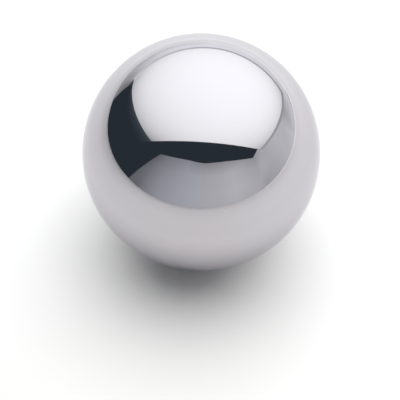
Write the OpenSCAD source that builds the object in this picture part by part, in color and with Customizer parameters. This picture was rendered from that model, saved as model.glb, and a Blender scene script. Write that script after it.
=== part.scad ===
// Precision steel ball: one solid, ground and lapped sphere.
// Units are millimetres, +Z is up, and the origin is the centre of the ball.

/* [Ball] */
// Diameter of the ball
ball_d = 25.4; // [1:0.1:100]

/* [Quality] */
// Segments around the ball in the preview
ball_segments = 180; // [48:12:240]

/* [Hidden] */

steel_colour = [0.79, 0.78, 0.81];

// A ball has no flat, seam or pole left on it after lapping, so one sphere is its whole form.
module ball() {
    color(steel_colour)
        sphere(d = ball_d, $fn = ball_segments);
}

ball();
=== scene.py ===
"""Looks of the polished steel ball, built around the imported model.

Lengths are metres, apart from those of the camera and the studio, which are ball radii. +Z is up.
"""

import math

import bpy
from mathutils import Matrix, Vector


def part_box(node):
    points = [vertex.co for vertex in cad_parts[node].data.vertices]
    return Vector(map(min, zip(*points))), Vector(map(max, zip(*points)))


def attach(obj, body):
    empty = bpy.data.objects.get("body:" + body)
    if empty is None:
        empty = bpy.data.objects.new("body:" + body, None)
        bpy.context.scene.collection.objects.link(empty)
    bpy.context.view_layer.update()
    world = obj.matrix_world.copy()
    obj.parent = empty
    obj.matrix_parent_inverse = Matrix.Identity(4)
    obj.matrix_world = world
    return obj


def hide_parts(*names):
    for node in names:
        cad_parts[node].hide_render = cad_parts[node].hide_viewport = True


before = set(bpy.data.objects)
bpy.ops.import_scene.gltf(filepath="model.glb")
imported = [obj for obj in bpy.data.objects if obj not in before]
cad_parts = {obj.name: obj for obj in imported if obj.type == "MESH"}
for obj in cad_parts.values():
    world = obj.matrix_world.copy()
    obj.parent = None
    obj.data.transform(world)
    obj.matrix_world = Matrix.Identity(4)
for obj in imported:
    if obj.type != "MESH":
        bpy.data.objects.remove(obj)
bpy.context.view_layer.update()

# The ball, from the frame. It stands on the Z axis, so its height gives both its centre and its radius.
BALL_LOW, BALL_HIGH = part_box("ball")
CENTRE = Vector((0, 0, (BALL_LOW.z + BALL_HIGH.z) / 2))
RADIUS = (BALL_HIGH.z - BALL_LOW.z) / 2

# Ball mesh: a cube of quads blown out to a sphere. Directions that agree to so many digits are one point.
QUADS_PER_SIDE = 96
MERGE_DIGITS = 6

# Camera: how high it stands over the ball, and its distance and farthest view in ball radii.
CAMERA_ELEVATION = math.radians(52)
CAMERA_DISTANCE = 30
CAMERA_REACH = 3 * CAMERA_DISTANCE
SENSOR_MM = 36
# The ball's width, and how far its centre is right of and above the middle, all as shares of the frame.
# They come from a circle fitted to the photographed ball's outline.
BALL_SHARE = 0.5968
BALL_RIGHT = 0.0033
BALL_UP = 0.1197

# Steel: its linear reflectance seen straight on, and how much it keeps of the rise towards the edge, both
# matched to the photographed ball's brightness.
STEEL = (0.535, 0.517, 0.546)
STEEL_EDGE = (0.855, 0.845, 0.86)
# Its lapped finish: roughness of the smoothest and the haziest spots, how wide the spots are, how finely
# their noise is drawn, and the noise values that are the smoothest and the haziest.
STEEL_ROUGHNESS = (0.022, 0.038)
LAPPING_SPOT = 0.0004
LAPPING_DETAIL = 2
LAPPING_NOISE = (0.3, 0.7)

# Studio, from here on in ball radii from the ball's centre, with linear tones and lights.
# Most of its places, tones and lights are not a design. Other programs fitted them to the edges and the
# brightness mirrored in the photographed ball, and they were then rounded and nudged.
# The table top touches the ball. Its edge is a list of directions, in degrees from the back round to the
# right, each with its distance.
TABLE_TOP = -1
TABLE_EDGE = [(-180, 25), (-160, 25), (-146, 26), (-125, 27), (-111, 26), (-98, 22), (-75, 20), (-47, 25),
              (-25, 28), (0, 30), (36, 27), (61, 21), (90, 19.5), (113, 22), (139, 24), (165, 25)]
# Rings of the table: distance, and painted light and shade at the back, right, front and left, which make
# the lit paper darker or lighter by place. The edge has painted light and shade of its own.
TABLE_PAINTED_RINGS = [
    (1.5, (0.85, 0.85, 0.85, 0.85)),
    (2.1, (0.81, 0.80, 0.84, 0.81)),
    (2.8, (0.77, 0.77, 0.785, 0.745)),
    (3.6, (0.81, 0.775, 0.78, 0.71)),
    (5.0, (0.86, 0.77, 0.78, 0.675)),
    (8.0, (0.90, 0.735, 0.79, 0.575)),
    (13.0, (0.73, 0.68, 0.88, 0.51)),
]
# Painted shade and light at the table's edge: darkest at the left, brightest at the front.
TABLE_EDGE_LIGHT_AND_SHADE = (0.68, 0.84, 0.98, 0.36)
# Tints of its painted light at the back, right, front and left, where the painted left shade is centred, and
# how narrow the right and the left shades are: a higher power is narrower.
TABLE_LIGHT_TINTS = ((0.99, 1.01, 0.995), (1.0, 1.0, 0.99), (1.012, 0.998, 0.98), (1.0, 1.0, 0.985))
TABLE_LEFT = math.radians(-78)
TABLE_RIGHT_POWER, TABLE_LEFT_POWER = 2, 3
TABLE_ROUGHNESS = 0.9

# Dark room all round.
ROOM = (0.034, 0.046, 0.057)

# Softbox overhead: its near left, near right, far right and far left corners. It leans down towards the
# back and the right.
BOX_CORNERS = [(-44.8, -16.7, 36.8), (56.1, -20.35, 30.1), (55.0, 48.8, 4.6), (-45.3, 50.2, 12.0)]
# Its cloth: tint, light at its brightest place, how fast that fades, how far from the middle the place is
# in shares of the width and depth, how much and how sharply the corners are rounded, and mesh steps.
BOX_TINT = (0.97, 1.0, 1.0)
BOX_PEAK = 1.84
BOX_FADE_ACROSS, BOX_FADE_AWAY = 3.1, 1.2
BOX_PEAK_ACROSS, BOX_PEAK_AWAY = 0.05, 0.066
BOX_CORNER_CUT = 0.015
BOX_CORNER_POWER = 8
BOX_STEPS = 24
# Its darker rim: how wide it is, how far behind the cloth, and its lights from left to right along the
# near side and the far side.
BOX_RIM = 6.0
BOX_RIM_BACK = 0.3
BOX_RIM_LIGHTS = ((0.8, 0.7, 0.6), (1.05, 0.80, 0.5))

# Spill on the dark wall beside the softbox's left edge: how far it reaches at the near end, middle and
# far end, and how many times brighter than the room it is at shares of that reach.
SPILL_REACHES = ((-0.5, 30), (0, 20), (0.5, 3))
SPILL_LEVELS = ((0, 2.4), (0.3, 1.6), (0.6, 1.3), (1, 1.0))

# Card walls round the table, drawn as glowing sheets with their light and shade painted in. Each post is its
# foot, its head, and its painted lights, evenly spaced between them. The two front cards meet at the middle
# post.
CARD_TINT = (0.98, 1.0, 1.03)
LEFT_CARD_TINT = (0.965, 1.0, 1.09)
MIDDLE_POST = ((-1.0, -48.4, -6), (-1.0, -48.4, 43.5), (0.69, 0.70, 0.66, 0.40))
FRONT_LEFT_POSTS = [
    ((-77.9, -31.3, -6), (-47.7, -38.2, 45), (0.20, 0.20, 0.20, 0.20)),
    ((-61.0, -35.2, -6), (-42.6, -39.4, 45), (0.21, 0.27, 0.29, 0.26)),
    ((-34.6, -41.3, -6), (-34.6, -41.3, 45), (0.51, 0.48, 0.42, 0.33)),
    ((-12.5, -46.4, -6), (-12.5, -46.4, 45), (0.64, 0.65, 0.60, 0.44)),
    ((-6.0, -48.0, -6), (-6.0, -48.0, 44.4), (0.67, 0.68, 0.63, 0.40)),
    MIDDLE_POST,
]
FRONT_RIGHT_POSTS = [
    MIDDLE_POST,
    ((2.3, -47.9, -6), (2.3, -47.9, 42.5), (0.70, 0.70, 0.66, 0.41)),
    ((6.6, -47.7, -6), (6.6, -47.7, 42.2), (0.71, 0.72, 0.68, 0.42)),
    ((12.7, -47.6, -6), (12.7, -47.6, 42.7), (0.72, 0.735, 0.70, 0.42)),
    ((29, -47, -6), (29, -47, 43.6), (0.76, 0.82, 0.78, 0.48)),
    ((55.5, -46, -6), (55.5, -46, 44), (0.72, 0.735, 0.69, 0.55)),
    ((75, -45, -6), (75, -45, 44), (0.58, 0.70, 0.66, 0.50)),
]
RIGHT_POSTS = [
    ((75, -45, -6), (75, -45, 44), (0.58, 0.74, 0.50)),
    ((75, -20, -6), (75, -20, 44), (0.68, 0.74, 0.70)),
    ((75, 0, -6), (75, 0, 44), (0.84, 0.85, 0.85)),
    ((75, 20, -6), (75, 20, 44), (0.98, 0.82, 0.80)),
    ((75, 43, -6), (75, 43, 44), (1.05, 0.50, 0.50)),
    ((75, 68, -6), (75, 68, 44), (1.15, 0.60, 0.50)),
]
BACK_POSTS = [
    ((-83, 68, -6), (-67, 68, 14), (0.40, 0.30, 0.20)),
    ((-66, 68, -6), (-62, 68, 14), (0.45, 0.35, 0.30)),
    ((-50, 68, -6), (-50, 68, 14), (0.60, 0.60, 0.85)),
    ((-36, 68, -6), (-36, 68, 14), (0.62, 0.97, 1.08)),
    ((-25, 68, -6), (-25, 68, 14), (0.80, 1.17, 1.07)),
    ((-15, 68, -6), (-15, 68, 14), (0.92, 1.31, 1.12)),
    ((5, 68, -6), (5, 68, 14), (1.30, 1.37, 1.25)),
    ((25, 68, -6), (25, 68, 14), (1.31, 1.26, 1.20)),
    ((50, 68, -6), (50, 68, 14), (1.26, 1.10, 1.05)),
    ((75, 68, -6), (75, 68, 14), (1.15, 0.90, 0.80)),
]

# Pale shell round the stage, seen only by the camera.
BACKDROP = (0.80, 0.81, 0.82)
BACKDROP_DISTANCE = 110
BACKDROP_QUADS = 12

# The softbox's two lamps: their radiances. The hot one has shares of the softbox's width and depth, and
# hangs a little below its cloth.
BOX_LAMP_LIGHT = 0.65
HOT_LAMP_LIGHT = 1.65
HOT_WIDTH, HOT_DEPTH = 0.616, 0.88
HOT_DROP = 0.5
# The other lamps: where each one is, which way it faces, its width and height, and its radiance.
RIGHT_LAMP = ((58, 0, 17), (-1, 0, 0), 80, 38, 0.485)
BACK_LAMP = ((20, 52, 11), (-10, -26, 0), 120, 26, 2.23)


def place(points):
    """Turns points in ball radii from the centre into metres."""
    return [CENTRE + RADIUS * Vector(point) for point in points]


def tinted(light, tint):
    """A light or tone as red, green and blue."""
    return [light * channel for channel in tint]


def add_object(name, data):
    thing = bpy.data.objects.new(name, data)
    bpy.context.collection.objects.link(thing)
    return thing


def round_cube(count):
    """Directions and quads of a cube blown out to a sphere, with count by count quads on each side."""
    sides = [
        (Vector((1, 0, 0)), Vector((0, 1, 0))),
        (Vector((0, 1, 0)), Vector((-1, 0, 0))),
        (Vector((-1, 0, 0)), Vector((0, -1, 0))),
        (Vector((0, -1, 0)), Vector((1, 0, 0))),
        (Vector((0, 0, 1)), Vector((0, 1, 0))),
        (Vector((0, 0, -1)), Vector((0, -1, 0))),
    ]
    slopes = [math.tan(math.pi / 2 * (i / count - 0.5)) for i in range(count + 1)]
    index, directions, quads = {}, [], []
    for out, across in sides:
        up = out.cross(across)
        grid = []
        for sideways in slopes:
            for upward in slopes:
                direction = (out + sideways * across + upward * up).normalized()
                key = tuple(round(part, MERGE_DIGITS) for part in direction)
                if key not in index:
                    index[key] = len(directions)
                    directions.append(direction)
                grid.append(index[key])
        for i in range(count):
            for j in range(count):
                k = i * (count + 1) + j
                quads.append((grid[k], grid[k + count + 1], grid[k + count + 2], grid[k + 1]))
    return directions, quads


def make_ball():
    """The ball's surface, with every point on the sphere and every normal straight out."""
    directions, quads = round_cube(QUADS_PER_SIDE)
    mesh = bpy.data.meshes.new("polished_ball")
    mesh.from_pydata(place(directions), [], quads)
    mesh.shade_smooth()
    mesh.normals_split_custom_set_from_vertices(directions)
    mesh.materials.append(steel_material())
    ball = add_object("polished_ball", mesh)
    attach(ball, "root")
    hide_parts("ball")


def steel_material():
    """Mirror-bright steel with the fine uneven haze that lapping leaves."""
    material = bpy.data.materials.new("polished_steel")
    material.use_nodes = True
    nodes, links = material.node_tree.nodes, material.node_tree.links
    shader = nodes["Principled BSDF"]
    shader.inputs["Base Color"].default_value = (*STEEL, 1)
    shader.inputs["Metallic"].default_value = 1
    shader.inputs["Specular Tint"].default_value = (*STEEL_EDGE, 1)
    coordinates = nodes.new("ShaderNodeTexCoord")
    spots = nodes.new("ShaderNodeTexNoise")
    spots.inputs["Scale"].default_value = 1 / LAPPING_SPOT
    spots.inputs["Detail"].default_value = LAPPING_DETAIL
    haze = nodes.new("ShaderNodeMapRange")
    haze.inputs["From Min"].default_value = LAPPING_NOISE[0]
    haze.inputs["From Max"].default_value = LAPPING_NOISE[1]
    haze.inputs["To Min"].default_value = STEEL_ROUGHNESS[0]
    haze.inputs["To Max"].default_value = STEEL_ROUGHNESS[1]
    links.new(coordinates.outputs["Object"], spots.inputs["Vector"])
    links.new(spots.outputs["Fac"], haze.inputs["Value"])
    links.new(haze.outputs["Result"], shader.inputs["Roughness"])
    return material


def table_material():
    """Matt white paper, with painted light and shade in the mesh's colours."""
    material = bpy.data.materials.new("white_table")
    material.use_nodes = True
    shader = material.node_tree.nodes["Principled BSDF"]
    shader.inputs["Roughness"].default_value = TABLE_ROUGHNESS
    shader.inputs["Specular IOR Level"].default_value = 0
    painted_light_and_shade = material.node_tree.nodes.new("ShaderNodeAttribute")
    painted_light_and_shade.attribute_name = "painted_light_and_shade"
    material.node_tree.links.new(painted_light_and_shade.outputs["Color"], shader.inputs["Base Color"])
    return material


def blend_sides(sides, angle):
    """Value at an angle from the back round to the right, from its back, right, front and left values."""
    back, right, front, left = sides
    value = back + (front - back) * (1 - math.cos(angle)) / 2
    value += (right - value) * max(0, math.sin(angle)) ** TABLE_RIGHT_POWER
    return value + (left - value) * max(0, math.cos(angle - TABLE_LEFT)) ** TABLE_LEFT_POWER


def table_colour(light_and_shade, angle):
    """The table's colour at an angle, from its painted light and shade at the back, right, front and left.
    """
    tint = [blend_sides(channels, angle) for channels in zip(*TABLE_LIGHT_TINTS)]
    return tinted(blend_sides(light_and_shade, angle), tint)


def make_table():
    """The white table top under the ball: a middle, rings round it, and the edge, with painted light and
    shade in its colours.
    """
    angles = [math.radians(degrees) for degrees, reach in TABLE_EDGE]
    spokes = len(angles)
    rings = [([distance] * spokes, light_and_shade) for distance, light_and_shade in TABLE_PAINTED_RINGS]
    rings.append(([reach for degrees, reach in TABLE_EDGE], TABLE_EDGE_LIGHT_AND_SHADE))
    points, colours = [], []
    for reaches, light_and_shade in rings:
        for angle, reach in zip(angles, reaches):
            points.append((reach * math.sin(angle), reach * math.cos(angle), TABLE_TOP))
            colours.extend((*table_colour(light_and_shade, angle), 1))
    faces = [tuple(range(spokes))]
    for near in range(0, spokes * len(TABLE_PAINTED_RINGS), spokes):
        for i in range(spokes):
            j = (i + 1) % spokes
            faces.append((near + i, near + j, near + spokes + j, near + spokes + i))
    mesh = bpy.data.meshes.new("table")
    mesh.from_pydata(place(points), [], faces)
    # The colour attribute carries the table's painted light and shade.
    mesh.color_attributes.new("painted_light_and_shade", "FLOAT_COLOR", "POINT").data.foreach_set("color", colours)
    mesh.materials.append(table_material())
    add_object("table", mesh)


def glow_material(name):
    """Shows the mesh's own glow colours, with no other shading."""
    material = bpy.data.materials.new(name)
    material.use_nodes = True
    material.cycles.emission_sampling = "NONE"
    nodes, links = material.node_tree.nodes, material.node_tree.links
    nodes.clear()
    glow = nodes.new("ShaderNodeAttribute")
    glow.attribute_name = "glow"
    emission = nodes.new("ShaderNodeEmission")
    output = nodes.new("ShaderNodeOutputMaterial")
    links.new(glow.outputs["Color"], emission.inputs["Color"])
    links.new(emission.outputs["Emission"], output.inputs["Surface"])
    return material


def add_glow(name, points, faces, colours, to_camera):
    """A glowing stage surface that lights nothing. Either the camera sees it or the ball does."""
    mesh = bpy.data.meshes.new(name)
    mesh.from_pydata(place(points), [], faces)
    layer = mesh.color_attributes.new("glow", "FLOAT_COLOR", "POINT")
    layer.data.foreach_set("color", [value for colour in colours for value in (*colour, 1)])
    mesh.materials.append(glow_material(name))
    surface = add_object(name, mesh)
    surface.visible_camera = to_camera
    surface.visible_glossy = not to_camera
    surface.visible_diffuse = False
    surface.visible_shadow = False


def make_sheet(name, grid, lights):
    """A glowing sheet seen only in the ball: rows of points, with a colour for each point."""
    rows, across = len(grid), len(grid[0])
    quads = []
    for j in range(rows - 1):
        for i in range(across - 1):
            k = j * across + i
            quads.append((k, k + 1, k + across + 1, k + across))
    points = [point for row in grid for point in row]
    add_glow(name, points, quads, [light for row in lights for light in row], False)


def make_screen(name, posts, tint):
    """A card wall hung between posts, as a glowing sheet with painted light and shade."""
    feet, heads, post_lights = zip(*posts)
    levels = len(post_lights[0])
    grid, lights = [], []
    for level in range(levels):
        rise = level / (levels - 1)
        grid.append([Vector(foot).lerp(Vector(head), rise) for foot, head in zip(feet, heads)])
        lights.append([tinted(post[level], tint) for post in post_lights])
    make_sheet(name, grid, lights)


def box_point(u, v):
    """A point of the softbox: u runs across and v away, both from -0.5 to 0.5 between its corners."""
    near_left, near_right, far_right, far_left = (Vector(corner) for corner in BOX_CORNERS)
    near, far = near_left.lerp(near_right, u + 0.5), far_left.lerp(far_right, u + 0.5)
    return near.lerp(far, v + 0.5)


def corner_cut(u, v):
    """Scale that draws in the softbox's corners, where u times v is a quarter, and hardly moves the rest."""
    return 1 - BOX_CORNER_CUT * (4 * u * v) ** BOX_CORNER_POWER


def box_axes():
    """The softbox's width, depth and direction down out of its face."""
    across = box_point(0.5, 0) - box_point(-0.5, 0)
    away = box_point(0, 0.5) - box_point(0, -0.5)
    return across.length, away.length, away.cross(across).normalized()


def box_light(u, v):
    """The light of the softbox's cloth at a point."""
    fade = BOX_FADE_ACROSS * (u - BOX_PEAK_ACROSS) ** 2 + BOX_FADE_AWAY * (v - BOX_PEAK_AWAY) ** 2
    return tinted(BOX_PEAK - fade, BOX_TINT)


def make_softbox():
    """The softbox's cloth, and its darker rim along the far and right sides."""
    steps = [i / BOX_STEPS - 0.5 for i in range(BOX_STEPS + 1)]
    grid = [[box_point(u * corner_cut(u, v), v * corner_cut(u, v)) for u in steps] for v in steps]
    make_sheet("softbox", grid, [[box_light(u, v) for u in steps] for v in steps])
    width, depth, down = box_axes()
    far, right = 0.5 + BOX_RIM / depth, 0.5 + BOX_RIM / width
    rim = [[box_point(u, v) - BOX_RIM_BACK * down for u in (-0.5, 0, right)] for v in (-0.5, far)]
    rim_lights = [[tinted(light, CARD_TINT) for light in row] for row in BOX_RIM_LIGHTS]
    make_sheet("softbox_rim", rim, rim_lights)


def make_backdrop():
    """A pale shell round the stage, so that a low view does not look into the dark room."""
    directions, quads = round_cube(BACKDROP_QUADS)
    points = [BACKDROP_DISTANCE * direction for direction in directions]
    add_glow("backdrop", points, quads, [BACKDROP] * len(points), True)


def make_spill():
    """Dim light on the wall beside the softbox's left edge."""
    shares, levels = zip(*SPILL_LEVELS)
    grid = []
    for v, reach in SPILL_REACHES:
        edge = box_point(-0.5, v)
        outward = (edge - box_point(0.5, v)).normalized()
        grid.append([edge + share * reach * outward for share in shares])
    make_sheet("softbox_spill", grid, [[tinted(level, ROOM) for level in levels] for row in grid])


def make_lamp(name, shape, middle, facing, width, height, radiance):
    """A lamp that lights the table but is not seen in the ball."""
    data = bpy.data.lights.new(name, "AREA")
    data.shape = shape
    data.size = width * RADIUS
    data.size_y = height * RADIUS
    area = data.size * data.size_y * (math.pi / 4 if shape == "ELLIPSE" else 1)
    data.energy = radiance * math.pi * area
    lamp = add_object(name, data)
    lamp.location = place([middle])[0]
    lamp.rotation_mode = "QUATERNION"
    lamp.rotation_quaternion = Vector(facing).to_track_quat("-Z", "Y")
    lamp.visible_camera = False
    lamp.visible_glossy = False


def make_lights():
    """The lamps, and the dark room's own faint light."""
    width, depth, down = box_axes()
    middle = box_point(0, 0)
    make_lamp("softbox_lamp", "RECTANGLE", middle, down, width, depth, BOX_LAMP_LIGHT)
    hot_middle = middle + HOT_DROP * down
    make_lamp("hot_lamp", "ELLIPSE", hot_middle, down, HOT_WIDTH * width, HOT_DEPTH * depth, HOT_LAMP_LIGHT)
    make_lamp("right_lamp", "RECTANGLE", *RIGHT_LAMP)
    make_lamp("back_lamp", "RECTANGLE", *BACK_LAMP)
    world = bpy.data.worlds.new("room")
    world.use_nodes = True
    world.node_tree.nodes["Background"].inputs["Color"].default_value = (*ROOM, 1)
    bpy.context.scene.world = world


def make_camera():
    """The camera in front of the ball and above it, set so that the ball fills its share of the frame."""
    data = bpy.data.cameras.new("camera")
    data.sensor_width = SENSOR_MM
    # A sphere's outline is seen at a slope of 1 to the length of the line from the camera that touches it.
    data.lens = SENSOR_MM * BALL_SHARE / 2 * math.sqrt(CAMERA_DISTANCE ** 2 - 1)
    data.clip_start = RADIUS
    data.clip_end = CAMERA_REACH * RADIUS
    back = Vector((0, -math.cos(CAMERA_ELEVATION), math.sin(CAMERA_ELEVATION)))
    up = Vector((0, math.sin(CAMERA_ELEVATION), math.cos(CAMERA_ELEVATION)))
    right = Vector((1, 0, 0))
    frame_size = 2 * RADIUS / BALL_SHARE
    aim = CENTRE - right * BALL_RIGHT * frame_size - up * BALL_UP * frame_size
    camera = add_object("camera", data)
    camera.location = CENTRE + back * CAMERA_DISTANCE * RADIUS
    camera.rotation_mode = "QUATERNION"
    camera.rotation_quaternion = (aim - camera.location).to_track_quat("-Z", "Y")
    bpy.context.scene.camera = camera


make_ball()
make_table()
make_softbox()
make_spill()
make_screen("front_left_card", FRONT_LEFT_POSTS, LEFT_CARD_TINT)
make_screen("front_right_card", FRONT_RIGHT_POSTS, CARD_TINT)
make_screen("right_card", RIGHT_POSTS, CARD_TINT)
make_screen("back_card", BACK_POSTS, CARD_TINT)
make_backdrop()
make_lights()
make_camera()
bpy.context.scene.view_settings.view_transform = "Standard"
